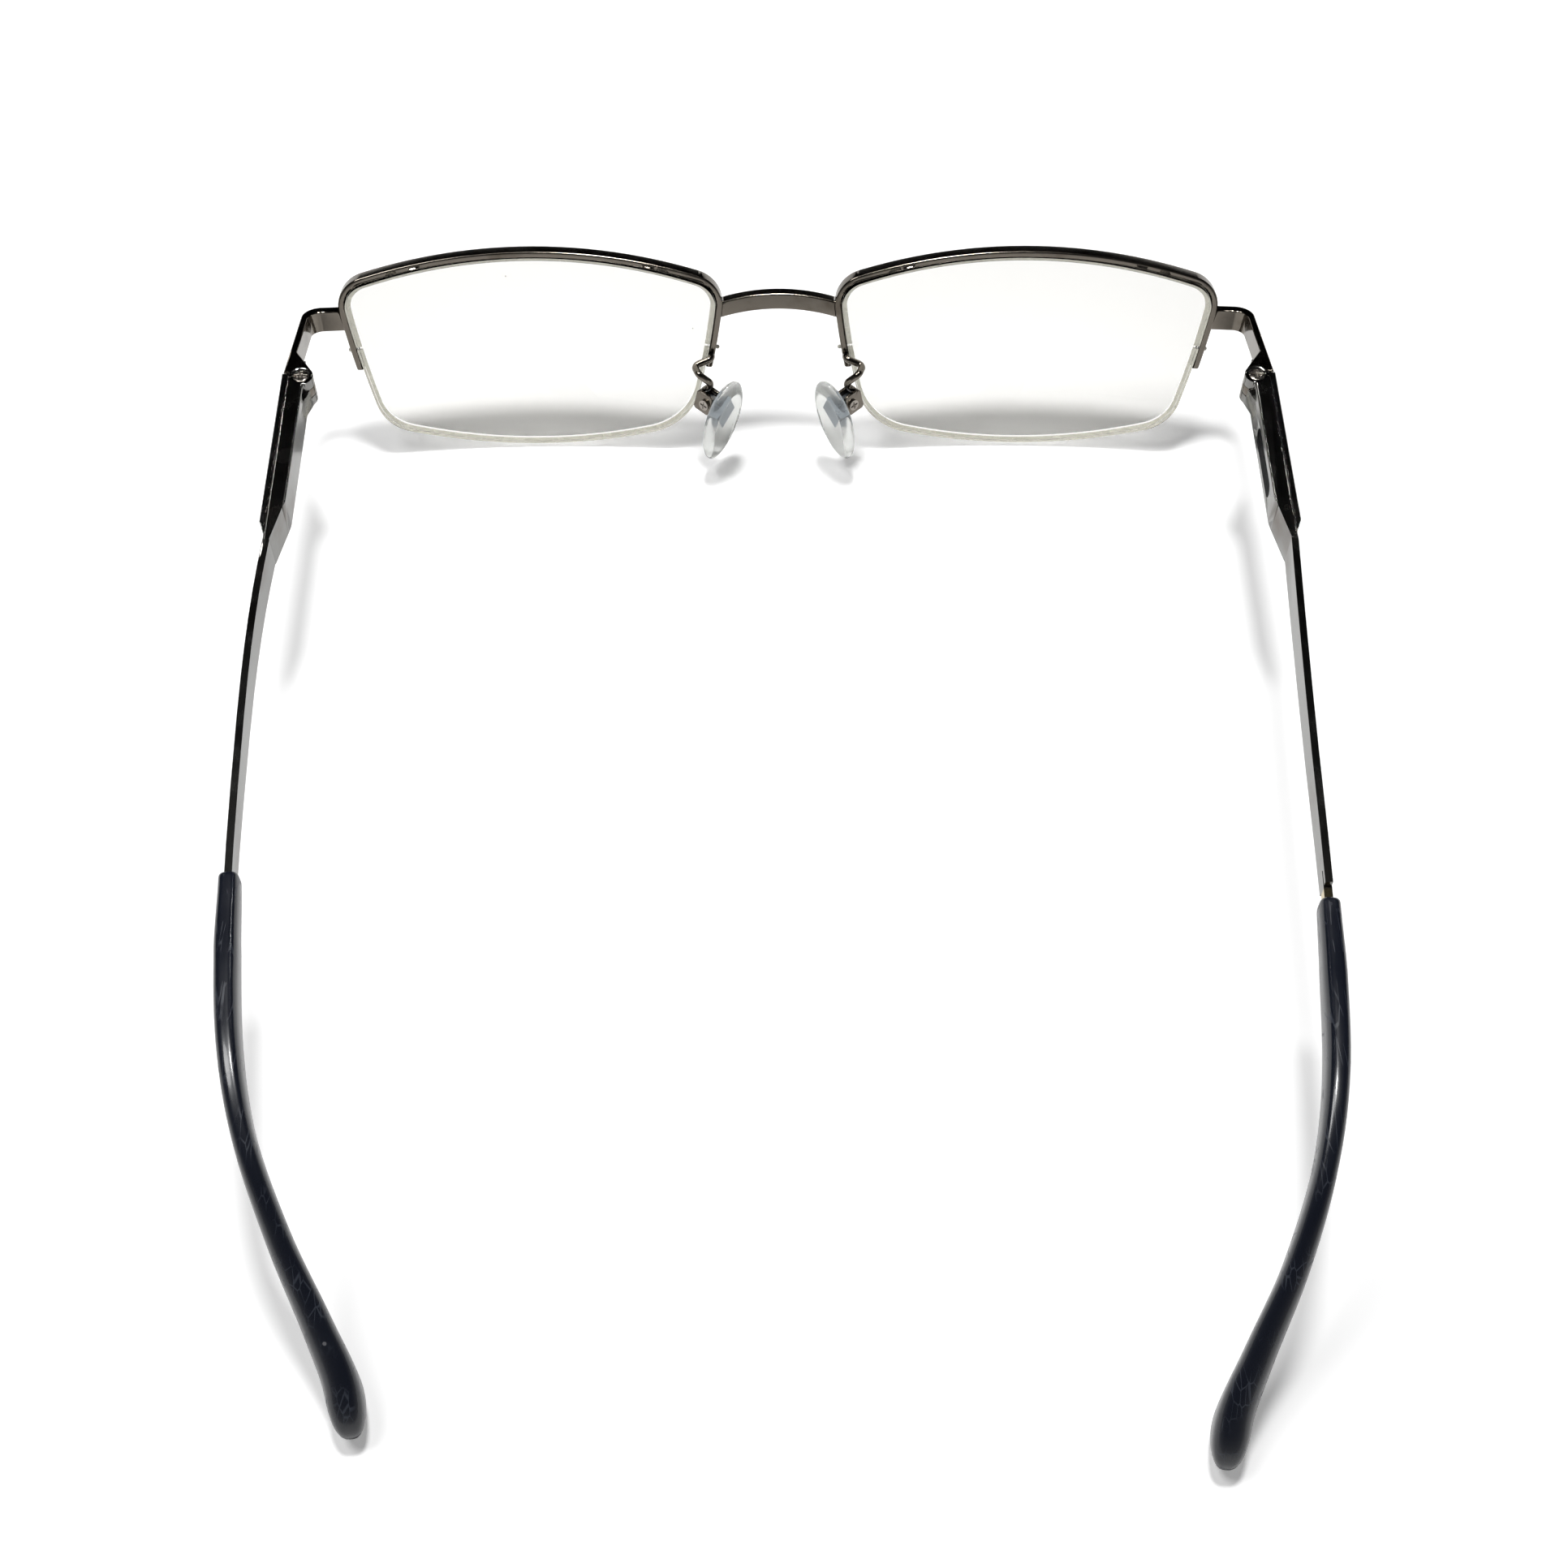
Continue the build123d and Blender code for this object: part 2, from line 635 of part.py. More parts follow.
box_inner = post_width / 2 + post_gap
box_outer = box_inner + box_wall
with BuildPart() as pad_box:
    with BuildSketch(pad_plane.offset(-box_back - box_wall)):
        Rectangle(2 * box_outer, box_height)
    extrude(amount=box_back + box_wall + box_front)
    fillet(pad_box.edges().filter_by(Axis(pad_pivot, tuple(pad_across))), box_edge)
    with BuildSketch(pad_plane.offset(-box_back)):
        Rectangle(2 * box_inner, 2 * box_height)
    extrude(amount=box_back + 2 * box_front, mode=Mode.SUBTRACT)
    with Locations(screw_plane.location):
        Cylinder(pad_screw_radius + thread_gap, 4 * box_outer, mode=Mode.SUBTRACT)

with BuildPart() as pad_screw:
    with BuildSketch(screw_plane.offset(-box_outer)):
        Circle(pad_screw_radius)
    extrude(amount=2 * box_outer)
    with BuildSketch(screw_plane.offset(box_outer)):
        Circle(pad_screw_head_radius)
    extrude(amount=pad_screw_head_height)
    with BuildSketch(screw_plane.offset(box_outer + pad_screw_head_height)):
        Rectangle(screw_slot_width / 2, 1.5 * pad_screw_head_radius)
        Rectangle(1.5 * pad_screw_head_radius, screw_slot_width / 2)
    extrude(amount=-screw_slot_width / 2, mode=Mode.SUBTRACT)

# Pad arm: a wire from the rear of the rim, round a loop to the top of the box
arm_end = pad_plane.from_local_coords(Vector(0, box_height / 2 - arm_radius, -box_back))
arm_x = -lens_side_at(arm_height) - rim_seat_gap - rim_thickness / 2
arm_start = edge_sag + rim_depth / 2 - arm_root
arm_local = [(arm_x, arm_height, arm_start), (arm_x, arm_height, arm_start + arm_lead)]
arm_local += [(inset - lens_width / 2, height, back) for inset, height, back in arm_corners]
arm_points = [lens_plane.from_local_coords(Vector(*corner)) for corner in arm_local] + [arm_end]
with BuildPart() as pad_arm:
    with BuildLine():
        arm_wire = FilletPolyline(*arm_points, radius=arm_bend)
    with BuildSketch(Plane(arm_wire @ 0, z_dir=arm_wire % 0)):
        Circle(arm_radius)
    sweep()
    add(rim.part, mode=Mode.SUBTRACT)
    add(pad_box.part, mode=Mode.SUBTRACT)

right_pieces = {
    "lens": lens, "rim": rim, "rim_liner": rim_liner, "nylon_cord": nylon_cord, "end_piece": end_piece,
    "front_hinge": front_hinge, "hinge_screw": hinge_screw, "temple_hinge": temple_hinge,
    "temple_plate": temple_plate, "pad_arm": pad_arm, "pad_box": pad_box, "pad_screw": pad_screw,
    "pad_insert": pad_insert, "nose_pad": nose_pad,
}
solids = {"bridge": bridge.part, "right_temple_inlay": temple_inlay.part}
for name, piece in right_pieces.items():
    solids["right_" + name] = piece.part
    solids["left_" + name] = mirror(piece.part, about=Plane.YZ)
solids["right_temple"] = temples["right"].part
solids["left_temple"] = mirror(temples["left"].part, about=Plane.YZ)
solids["right_temple_tip"] = sleeves["right"].part
solids["left_temple_tip"] = mirror(sleeves["left"].part, about=Plane.YZ)

# The origin is the middle of the whole outline, on the surface that the glasses stand on
box = Compound(list(solids.values())).bounding_box()
origin_shift = Location((0, -(box.min.Y + box.max.Y) / 2, -box.min.Z))
for name, solid in solids.items():
    placed = solid.moved(origin_shift)
    placed.label = name
    export_step(placed, f"parts/{name}.step")

hinge_point = origin_shift.position + Vector(hinge_x, 0, temple_z)
pad_point = origin_shift.position + Vector(*pad_pivot)
print("size", box.size)
print("right hinge", hinge_point, "right pad pivot", pad_point, "pad axis", pad_across)
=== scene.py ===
import json
from math import cos, pi, radians, sin, sqrt, tan

import bmesh
import bpy
from mathutils import Matrix, Vector


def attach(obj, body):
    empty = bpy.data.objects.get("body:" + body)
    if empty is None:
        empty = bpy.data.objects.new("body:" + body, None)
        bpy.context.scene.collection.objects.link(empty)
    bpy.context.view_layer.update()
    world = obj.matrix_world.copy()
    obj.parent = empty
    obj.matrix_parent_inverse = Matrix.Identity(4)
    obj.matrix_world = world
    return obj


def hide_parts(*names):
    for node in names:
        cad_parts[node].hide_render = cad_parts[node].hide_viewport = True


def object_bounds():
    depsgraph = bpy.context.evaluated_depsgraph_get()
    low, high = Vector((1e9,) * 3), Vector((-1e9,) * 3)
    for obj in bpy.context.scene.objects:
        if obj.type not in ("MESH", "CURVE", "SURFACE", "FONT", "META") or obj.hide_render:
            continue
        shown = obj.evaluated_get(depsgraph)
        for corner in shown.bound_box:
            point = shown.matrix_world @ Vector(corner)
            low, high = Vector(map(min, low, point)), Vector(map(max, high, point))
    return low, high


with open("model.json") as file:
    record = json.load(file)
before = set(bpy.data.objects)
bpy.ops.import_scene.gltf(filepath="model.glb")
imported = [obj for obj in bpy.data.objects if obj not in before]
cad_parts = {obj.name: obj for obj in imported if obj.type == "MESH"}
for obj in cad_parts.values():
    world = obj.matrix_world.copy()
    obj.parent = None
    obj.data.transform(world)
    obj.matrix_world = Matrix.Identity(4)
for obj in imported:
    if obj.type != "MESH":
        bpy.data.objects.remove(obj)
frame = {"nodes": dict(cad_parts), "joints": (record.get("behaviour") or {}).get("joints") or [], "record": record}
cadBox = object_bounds()
nodes = frame["nodes"]
joints = {joint["name"]: joint for joint in frame["joints"]}
mm = 0.001
sides = {"right": 1, "left": -1}
bodyOf = {node: body for body, held in frame["record"]["behaviour"]["bodies"].items() for node in held}
print("frame loaded:", len(nodes), "nodes")


def startGroup(name, inputs, outputs):
    group = bpy.data.node_groups.new(name, "ShaderNodeTree")
    for label, kind, value in inputs:
        socket = group.interface.new_socket(name=label, in_out="INPUT", socket_type=kind)
        socket.default_value = value
    for label, kind in outputs:
        group.interface.new_socket(name=label, in_out="OUTPUT", socket_type=kind)
    start = group.nodes.new("NodeGroupInput")
    end = group.nodes.new("NodeGroupOutput")
    return group, start, end


def addNode(tree, kind, values=None, **settings):
    node = tree.nodes.new(kind)
    for name, value in settings.items():
        setattr(node, name, value)
    for name, value in (values or {}).items():
        node.inputs[name].default_value = value
    return node


def buildGrainGroup():
    # long fine lines, as left by brushing or drawing the metal
    group, start, end = startGroup(
        "drawnGrain",
        [("Scale", "NodeSocketFloat", 1.0), ("Stretch", "NodeSocketVector", (1.0, 1.0, 1.0))],
        [("Lines", "NodeSocketFloat")],
    )
    place = addNode(group, "ShaderNodeTexCoord")
    stretch = addNode(group, "ShaderNodeMapping")
    noise = addNode(group, "ShaderNodeTexNoise", {"Detail": 3.0, "Roughness": 0.6})
    group.links.new(place.outputs["Object"], stretch.inputs["Vector"])
    group.links.new(start.outputs["Stretch"], stretch.inputs["Scale"])
    group.links.new(stretch.outputs["Vector"], noise.inputs["Vector"])
    group.links.new(start.outputs["Scale"], noise.inputs["Scale"])
    group.links.new(noise.outputs["Fac"], end.inputs["Lines"])
    return group


def buildSmudgeGroup():
    # broad soft patches from handling, with a mask for the dirtiest of them
    group, start, end = startGroup(
        "handledSurface",
        [("Scale", "NodeSocketFloat", 120.0), ("Seed", "NodeSocketFloat", 0.0)],
        [("Patches", "NodeSocketFloat"), ("Dirt", "NodeSocketFloat")],
    )
    place = addNode(group, "ShaderNodeTexCoord")
    noise = addNode(group, "ShaderNodeTexNoise", {"Detail": 4.0, "Roughness": 0.55}, noise_dimensions="4D")
    rise = addNode(group, "ShaderNodeMapRange", {"From Min": 0.56, "From Max": 0.74})
    group.links.new(place.outputs["Object"], noise.inputs["Vector"])
    group.links.new(start.outputs["Scale"], noise.inputs["Scale"])
    group.links.new(start.outputs["Seed"], noise.inputs["W"])
    group.links.new(noise.outputs["Fac"], rise.inputs["Value"])
    group.links.new(noise.outputs["Fac"], end.inputs["Patches"])
    group.links.new(rise.outputs["Result"], end.inputs["Dirt"])
    return group


def buildSpeckGroup():
    # a few small specks of dust, some cells of a cell pattern holding one each
    group, start, end = startGroup(
        "dustSpecks",
        [("Scale", "NodeSocketFloat", 300.0), ("Size", "NodeSocketFloat", 0.12),
         ("Share", "NodeSocketFloat", 0.2)],
        [("Specks", "NodeSocketFloat")],
    )
    place = addNode(group, "ShaderNodeTexCoord")
    cells = addNode(group, "ShaderNodeTexVoronoi")
    near = addNode(group, "ShaderNodeMath", operation="LESS_THAN")
    split = addNode(group, "ShaderNodeSeparateColor")
    chosen = addNode(group, "ShaderNodeMath", operation="LESS_THAN")
    both = addNode(group, "ShaderNodeMath", operation="MULTIPLY")
    group.links.new(place.outputs["Object"], cells.inputs["Vector"])
    group.links.new(start.outputs["Scale"], cells.inputs["Scale"])
    group.links.new(cells.outputs["Distance"], near.inputs[0])
    group.links.new(start.outputs["Size"], near.inputs[1])
    group.links.new(cells.outputs["Color"], split.inputs["Color"])
    group.links.new(split.outputs["Red"], chosen.inputs[0])
    group.links.new(start.outputs["Share"], chosen.inputs[1])
    group.links.new(near.outputs["Value"], both.inputs[0])
    group.links.new(chosen.outputs["Value"], both.inputs[1])
    group.links.new(both.outputs["Value"], end.inputs["Specks"])
    return group


def buildScratchGroup():
    # hairline scratches: the thin edges between the stretched cells of a cell pattern
    group, start, end = startGroup(
        "hairlineScratches",
        [("Scale", "NodeSocketFloat", 200.0), ("Stretch", "NodeSocketVector", (1.0, 1.0, 1.0)),
         ("Width", "NodeSocketFloat", 0.02)],
        [("Scratches", "NodeSocketFloat")],
    )
    place = addNode(group, "ShaderNodeTexCoord")
    stretch = addNode(group, "ShaderNodeMapping")
    cells = addNode(group, "ShaderNodeTexVoronoi", feature="DISTANCE_TO_EDGE")
    thin = addNode(group, "ShaderNodeMapRange", {"From Min": 0.0, "To Min": 1.0, "To Max": 0.0})
    fade = addNode(group, "ShaderNodeTexNoise", {"Scale": 260.0, "Detail": 1.0})
    rise = addNode(group, "ShaderNodeMapRange", {"From Min": 0.48, "From Max": 0.62})
    both = addNode(group, "ShaderNodeMath", operation="MULTIPLY")
    group.links.new(place.outputs["Object"], stretch.inputs["Vector"])
    group.links.new(start.outputs["Stretch"], stretch.inputs["Scale"])
    group.links.new(stretch.outputs["Vector"], cells.inputs["Vector"])
    group.links.new(start.outputs["Scale"], cells.inputs["Scale"])
    group.links.new(cells.outputs["Distance"], thin.inputs["Value"])
    group.links.new(start.outputs["Width"], thin.inputs["From Max"])
    group.links.new(place.outputs["Object"], fade.inputs["Vector"])
    group.links.new(fade.outputs["Fac"], rise.inputs["Value"])
    group.links.new(thin.outputs["Result"], both.inputs[0])
    group.links.new(rise.outputs["Result"], both.inputs[1])
    group.links.new(both.outputs["Value"], end.inputs["Scratches"])
    return group


grainGroup = buildGrainGroup()
smudgeGroup = buildSmudgeGroup()
speckGroup = buildSpeckGroup()
scratchGroup = buildScratchGroup()


def startMaterial(name, values):
    material = bpy.data.materials.new(name)
    material.use_nodes = True
    shader = material.node_tree.nodes["Principled BSDF"]
    for socket, value in values.items():
        shader.inputs[socket].default_value = value
    return material, material.node_tree, shader


def placeGroup(tree, group, values):
    node = tree.nodes.new("ShaderNodeGroup")
    node.node_tree = group
    for socket, value in values.items():
        node.inputs[socket].default_value = value
    return node


def blendColours(tree, factor, first, second):
    mix = addNode(tree, "ShaderNodeMix", data_type="RGBA")
    for socket, value in ((mix.inputs[6], first), (mix.inputs[7], second)):
        if isinstance(value, bpy.types.NodeSocket):
            tree.links.new(value, socket)
        else:
            socket.default_value = (*value, 1.0)
    tree.links.new(factor, mix.inputs[0])
    return mix.outputs[2]


def rangeOf(tree, value, low, high, startAt=0.0, endAt=1.0):
    spread = addNode(tree, "ShaderNodeMapRange", {
        "From Min": startAt, "From Max": endAt, "To Min": low, "To Max": high,
    })
    tree.links.new(value, spread.inputs["Value"])
    return spread.outputs["Result"]


def addBump(tree, shader, height, depth, strength=1.0):
    bump = addNode(tree, "ShaderNodeBump", {"Distance": depth, "Strength": strength})
    tree.links.new(height, bump.inputs["Height"])
    tree.links.new(bump.outputs["Normal"], shader.inputs["Normal"])


metalWear = {
    "scratchScale": 240.0, "scratchWidth": 0.015, "scratchRoughness": 0.18,
    "smoothest": 0.8, "dullest": 1.25,        # shares of the metal's own roughness
}
patchSpan = (0.3, 0.7)        # where the smudges run from clean to dirty


def metalFinish(name, metal):
    material, tree, shader = startMaterial(name, {"Metallic": 1.0})
    grain = placeGroup(tree, grainGroup, {"Scale": metal["grainScale"], "Stretch": metal["grainStretch"]})
    smudge = placeGroup(tree, smudgeGroup, {"Scale": metal["patchScale"], "Seed": metal["seed"]})
    scratch = placeGroup(tree, scratchGroup, {
        "Scale": metalWear["scratchScale"], "Stretch": metal["grainStretch"],
        "Width": metalWear["scratchWidth"],
    })
    plain = blendColours(tree, smudge.outputs["Patches"], metal["colour"], metal["patchColour"])
    dirty = blendColours(tree, smudge.outputs["Dirt"], plain, metal["dirtColour"])
    tree.links.new(dirty, shader.inputs["Base Color"])
    rough = addNode(tree, "ShaderNodeMath", operation="MULTIPLY_ADD")
    rough.inputs[1].default_value = metalWear["scratchRoughness"]
    tree.links.new(scratch.outputs["Scratches"], rough.inputs[0])
    patchy = rangeOf(
        tree, smudge.outputs["Patches"], metal["roughness"] * metalWear["smoothest"],
        metal["roughness"] * metalWear["dullest"], *patchSpan,
    )
    tree.links.new(patchy, rough.inputs[2])
    tree.links.new(rough.outputs["Value"], shader.inputs["Roughness"])
    addBump(tree, shader, grain.outputs["Lines"], metal["grainDepth"])
    return material, tree, shader, dirty


frontMetal = {
    "colour": (0.2, 0.178, 0.15), "patchColour": (0.15, 0.133, 0.112), "dirtColour": (0.1, 0.083, 0.065),
    "roughness": 0.13, "grainScale": 1.0, "grainStretch": (3200.0, 900.0, 260.0), "grainDepth": 0.000004,
    "patchScale": 160.0, "seed": 1.0,
}
templeMetal = {
    "colour": (0.29, 0.29, 0.28), "patchColour": (0.2, 0.197, 0.185), "dirtColour": (0.15, 0.12, 0.1),
    "roughness": 0.13, "grainScale": 1.0, "grainStretch": (2600.0, 180.0, 2600.0), "grainDepth": 0.000003,
    "patchScale": 90.0, "seed": 4.0,
    "bareColour": (0.72, 0.6, 0.36), "bareBehind": 78.7 * mm, "bareFade": 0.4 * mm,        # behind the hinge
}
screwMetal = {
    "colour": (0.42, 0.39, 0.35), "patchColour": (0.3, 0.27, 0.24), "dirtColour": (0.08, 0.06, 0.05),
    "roughness": 0.24, "grainScale": 1.0, "grainStretch": (2600.0, 2600.0, 2600.0), "grainDepth": 0.00001,
    "patchScale": 900.0, "seed": 7.0,
}
insertMetal = {
    "colour": (0.34, 0.38, 0.42), "patchColour": (0.25, 0.28, 0.32), "dirtColour": (0.16, 0.17, 0.19),
    "roughness": 0.3, "grainScale": 1.0, "grainStretch": (2600.0, 2600.0, 700.0), "grainDepth": 0.000006,
    "patchScale": 500.0, "seed": 9.0,
}


def templeFinish():
    # the plated band, and the bare core where it leaves the band for the sleeve
    material, tree, shader, plated = metalFinish("templeGunmetal", templeMetal)
    shoulder = joints["right_temple_fold"]["pos_m"][1] - templeMetal["bareBehind"]
    place = addNode(tree, "ShaderNodeTexCoord")
    split = addNode(tree, "ShaderNodeSeparateXYZ")
    tree.links.new(place.outputs["Object"], split.inputs["Vector"])
    bare = rangeOf(tree, split.outputs["Y"], 1.0, 0.0, shoulder - templeMetal["bareFade"], shoulder)
    tree.links.new(blendColours(tree, bare, plated, templeMetal["bareColour"]), shader.inputs["Base Color"])
    return material


knurl = {"scale": (900.0, 2100.0, 900.0), "depth": 0.05 * mm}


def plateFinish():
    # the same plating, roughened finely in place of the drawn grain
    material, tree, shader = metalFinish("plateGunmetal", templeMetal)[:3]
    place = addNode(tree, "ShaderNodeTexCoord")
    stretch = addNode(tree, "ShaderNodeMapping", {"Scale": knurl["scale"]})
    noise = addNode(tree, "ShaderNodeTexNoise", {"Scale": 1.0, "Detail": 2.0})
    tree.links.new(place.outputs["Object"], stretch.inputs["Vector"])
    tree.links.new(stretch.outputs["Vector"], noise.inputs["Vector"])
    addBump(tree, shader, noise.outputs["Fac"], knurl["depth"])
    return material


plasticWear = {
    "coatRoughness": 0.06, "patchScale": 60.0, "seed": 12.0, "patchDepth": 0.08 * mm,
    "scratchScale": 150.0, "scratchStretch": (9.0, 1.0, 5.0), "scratchWidth": 0.06, "scratchRoughness": 0.3,
    "dustScale": 420.0, "dustSize": 0.1, "dustShare": 0.12, "smoothest": 0.16, "dullest": 0.34,
}


def plasticFinish(name, plastic):
    material, tree, shader = startMaterial(name, {
        "IOR": plastic["ior"], "Coat Weight": plastic["coat"],
        "Coat Roughness": plasticWear["coatRoughness"],
    })
    smudge = placeGroup(tree, smudgeGroup, {"Scale": plasticWear["patchScale"], "Seed": plasticWear["seed"]})
    scratch = placeGroup(tree, scratchGroup, {
        "Scale": plasticWear["scratchScale"], "Stretch": plasticWear["scratchStretch"],
        "Width": plasticWear["scratchWidth"],
    })
    speck = placeGroup(tree, speckGroup, {
        "Scale": plasticWear["dustScale"], "Size": plasticWear["dustSize"], "Share": plasticWear["dustShare"],
    })
    plain = blendColours(tree, smudge.outputs["Patches"], plastic["colour"], plastic["patchColour"])
    worn = blendColours(tree, scratch.outputs["Scratches"], plain, plastic["scratchColour"])
    dusty = blendColours(tree, speck.outputs["Specks"], worn, plastic["dustColour"])
    tree.links.new(dusty, shader.inputs["Base Color"])
    rough = addNode(tree, "ShaderNodeMath", operation="MULTIPLY_ADD")
    rough.inputs[1].default_value = plasticWear["scratchRoughness"]
    tree.links.new(scratch.outputs["Scratches"], rough.inputs[0])
    patchy = rangeOf(
        tree, smudge.outputs["Patches"], plasticWear["smoothest"], plasticWear["dullest"], *patchSpan,
    )
    tree.links.new(patchy, rough.inputs[2])
    tree.links.new(rough.outputs["Value"], shader.inputs["Roughness"])
    addBump(tree, shader, smudge.outputs["Patches"], plasticWear["patchDepth"])
    return material


sleevePlastic = {
    "colour": (0.006, 0.0075, 0.013), "patchColour": (0.009, 0.011, 0.018),
    "scratchColour": (0.03, 0.036, 0.05), "dustColour": (0.12, 0.12, 0.13), "coat": 0.25, "ior": 1.5,
}
enamelPlastic = {
    "colour": (0.004, 0.004, 0.005), "patchColour": (0.006, 0.006, 0.007),
    "scratchColour": (0.02, 0.02, 0.022), "dustColour": (0.08, 0.08, 0.08), "coat": 0.0, "ior": 1.03,
}


def lensFinish():
    material, tree, shader = startMaterial("coatedLens", {
        "IOR": 1.5, "Transmission Weight": 1.0, "Roughness": 0.0, "Coat Weight": 0.0,
    })
    speck = placeGroup(tree, speckGroup, {"Scale": 420.0, "Size": 0.06, "Share": 0.02})
    smudge = placeGroup(tree, smudgeGroup, {"Scale": 70.0, "Seed": 3.0})
    clear = blendColours(tree, smudge.outputs["Patches"], (1.0, 0.995, 0.975), (0.99, 0.985, 0.955))
    dusty = blendColours(tree, speck.outputs["Specks"], clear, (0.45, 0.42, 0.38))
    tree.links.new(dusty, shader.inputs["Base Color"])
    tree.links.new(rangeOf(tree, speck.outputs["Specks"], 0.0, 0.4), shader.inputs["Roughness"])
    return material


def nylonFinish():
    material, tree, shader = startMaterial("clearNylon", {
        "IOR": 1.53, "Transmission Weight": 0.12, "Roughness": 0.25,
    })
    smudge = placeGroup(tree, smudgeGroup, {"Scale": 400.0, "Seed": 5.0})
    colour = blendColours(tree, smudge.outputs["Patches"], (0.88, 0.86, 0.74), (0.97, 0.955, 0.88))
    tree.links.new(colour, shader.inputs["Base Color"])
    tree.links.new(rangeOf(tree, smudge.outputs["Patches"], 0.18, 0.36), shader.inputs["Roughness"])
    return material


def siliconeFinish():
    material, tree, shader = startMaterial("softSilicone", {
        "IOR": 1.41, "Transmission Weight": 0.9, "Roughness": 0.06, "Coat Weight": 0.0,
    })
    smudge = placeGroup(tree, smudgeGroup, {"Scale": 330.0, "Seed": 8.0})
    speck = placeGroup(tree, speckGroup, {"Scale": 900.0, "Size": 0.12, "Share": 0.2})
    cloudy = blendColours(tree, smudge.outputs["Patches"], (0.97, 0.98, 0.96), (0.88, 0.895, 0.865))
    dusty = blendColours(tree, speck.outputs["Specks"], cloudy, (0.6, 0.58, 0.52))
    tree.links.new(dusty, shader.inputs["Base Color"])
    patchy = rangeOf(tree, smudge.outputs["Patches"], 0.06, 0.24, *patchSpan)
    tree.links.new(patchy, shader.inputs["Roughness"])
    addBump(tree, shader, smudge.outputs["Patches"], 0.06 * mm)
    return material


def finishPiece(bm, name, material, node, smoothAngle=38):
    # turns a bmesh into a piece that stands for a CAD node and rides on its body
    mesh = bpy.data.meshes.new(name)
    bm.to_mesh(mesh)
    bm.free()
    mesh.materials.append(material)
    for polygon in mesh.polygons:
        polygon.use_smooth = True
    mesh.set_sharp_from_angle(angle=radians(smoothAngle))
    piece = bpy.data.objects.new(name, mesh)
    bpy.context.scene.collection.objects.link(piece)
    flat = piece.modifiers.new("flatFaces", "WEIGHTED_NORMAL")
    flat.keep_sharp = True
    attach(piece, bodyOf[node])
    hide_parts(node)
    return piece


def softenedCopy(node, material, edge):
    # the CAD shape with its doubles merged and its long sharp edges rounded over
    bm = bmesh.new()
    bm.from_mesh(nodes[node].data)
    bmesh.ops.remove_doubles(bm, verts=bm.verts, dist=1e-6)
    sharp = [e for e in bm.edges if e.is_manifold and e.calc_face_angle(0) > radians(edge["angle"])]
    long = [e for e in sharp if e.calc_length() > edge["shortest"]]
    if long:
        bmesh.ops.bevel(
            bm, geom=long, offset=edge["width"], offset_type="OFFSET", segments=edge["segments"],
            profile=0.5, affect="EDGES", clamp_overlap=edge["clamp"], material=-1,
        )
    return finishPiece(bm, node + "_finished", material, node)


sleeve = {
    "line": [(-0.8, 79.0), (-1.4, 86.0), (-2.8, 97.0), (-5.2, 108.0), (-8.6, 117.0), (-12.5, 124.5),
             (-15.1, 130.0), (-16.6, 138.0)],        # from above: outside and behind the hinge
    "widths": [2.5, 2.8, 2.7, 2.5, 2.9, 3.5, 4.2, 4.3],
    "shifts": [0.75, 0.7, 0.55, 0.4, 0.15, 0.1, 0.1, 0.1], "lean": {"right": -1, "left": 1},
    "heights": [3.9, 5.0, 5.4, 5.8, 6.9],
    "mouth": 76.5, "bendStart": 97.0, "bendRadius": 25.0, "bendAngle": 40.0, "endRadius": 3.2,
    "slip": {"right": 4.0, "left": 0.0},
    "stations": 64, "ringPoints": 32, "squareness": 3.2,
    "endReach": 1.6, "endFullness": 2.4, "endShare": 0.0004,        # the rounded end, in end radii
    "mouthRound": 0.5, "mouthShare": 0.72,
}


def between(pairs, value):
    # straight-line reading of a list of (place, amount) pairs
    for (a, low), (b, high) in zip(pairs, pairs[1:]):
        if value <= b:
            return low + (high - low) * (value - a) / (b - a)
    (a, low), (b, high) = pairs[-2:]
    return low + (high - low) * (value - a) / (b - a)


def smoothBetween(pairs, value):
    # the same, rounded off with the slopes of the neighbouring pairs
    places = [place for place, amount in pairs]
    i = max(0, min(len(pairs) - 2, sum(place <= value for place in places) - 1))
    slopes = []
    for k in (i, i + 1):
        a, b = max(k - 1, 0), min(k + 1, len(pairs) - 1)
        slopes.append((pairs[b][1] - pairs[a][1]) / (pairs[b][0] - pairs[a][0]))
    span = pairs[i + 1][0] - pairs[i][0]
    t = (value - pairs[i][0]) / span
    return (
        (2 * t**3 - 3 * t**2 + 1) * pairs[i][1] + (t**3 - 2 * t**2 + t) * span * slopes[0]
        + (3 * t**2 - 2 * t**3) * pairs[i + 1][1] + (t**3 - t**2) * span * slopes[1]
    )


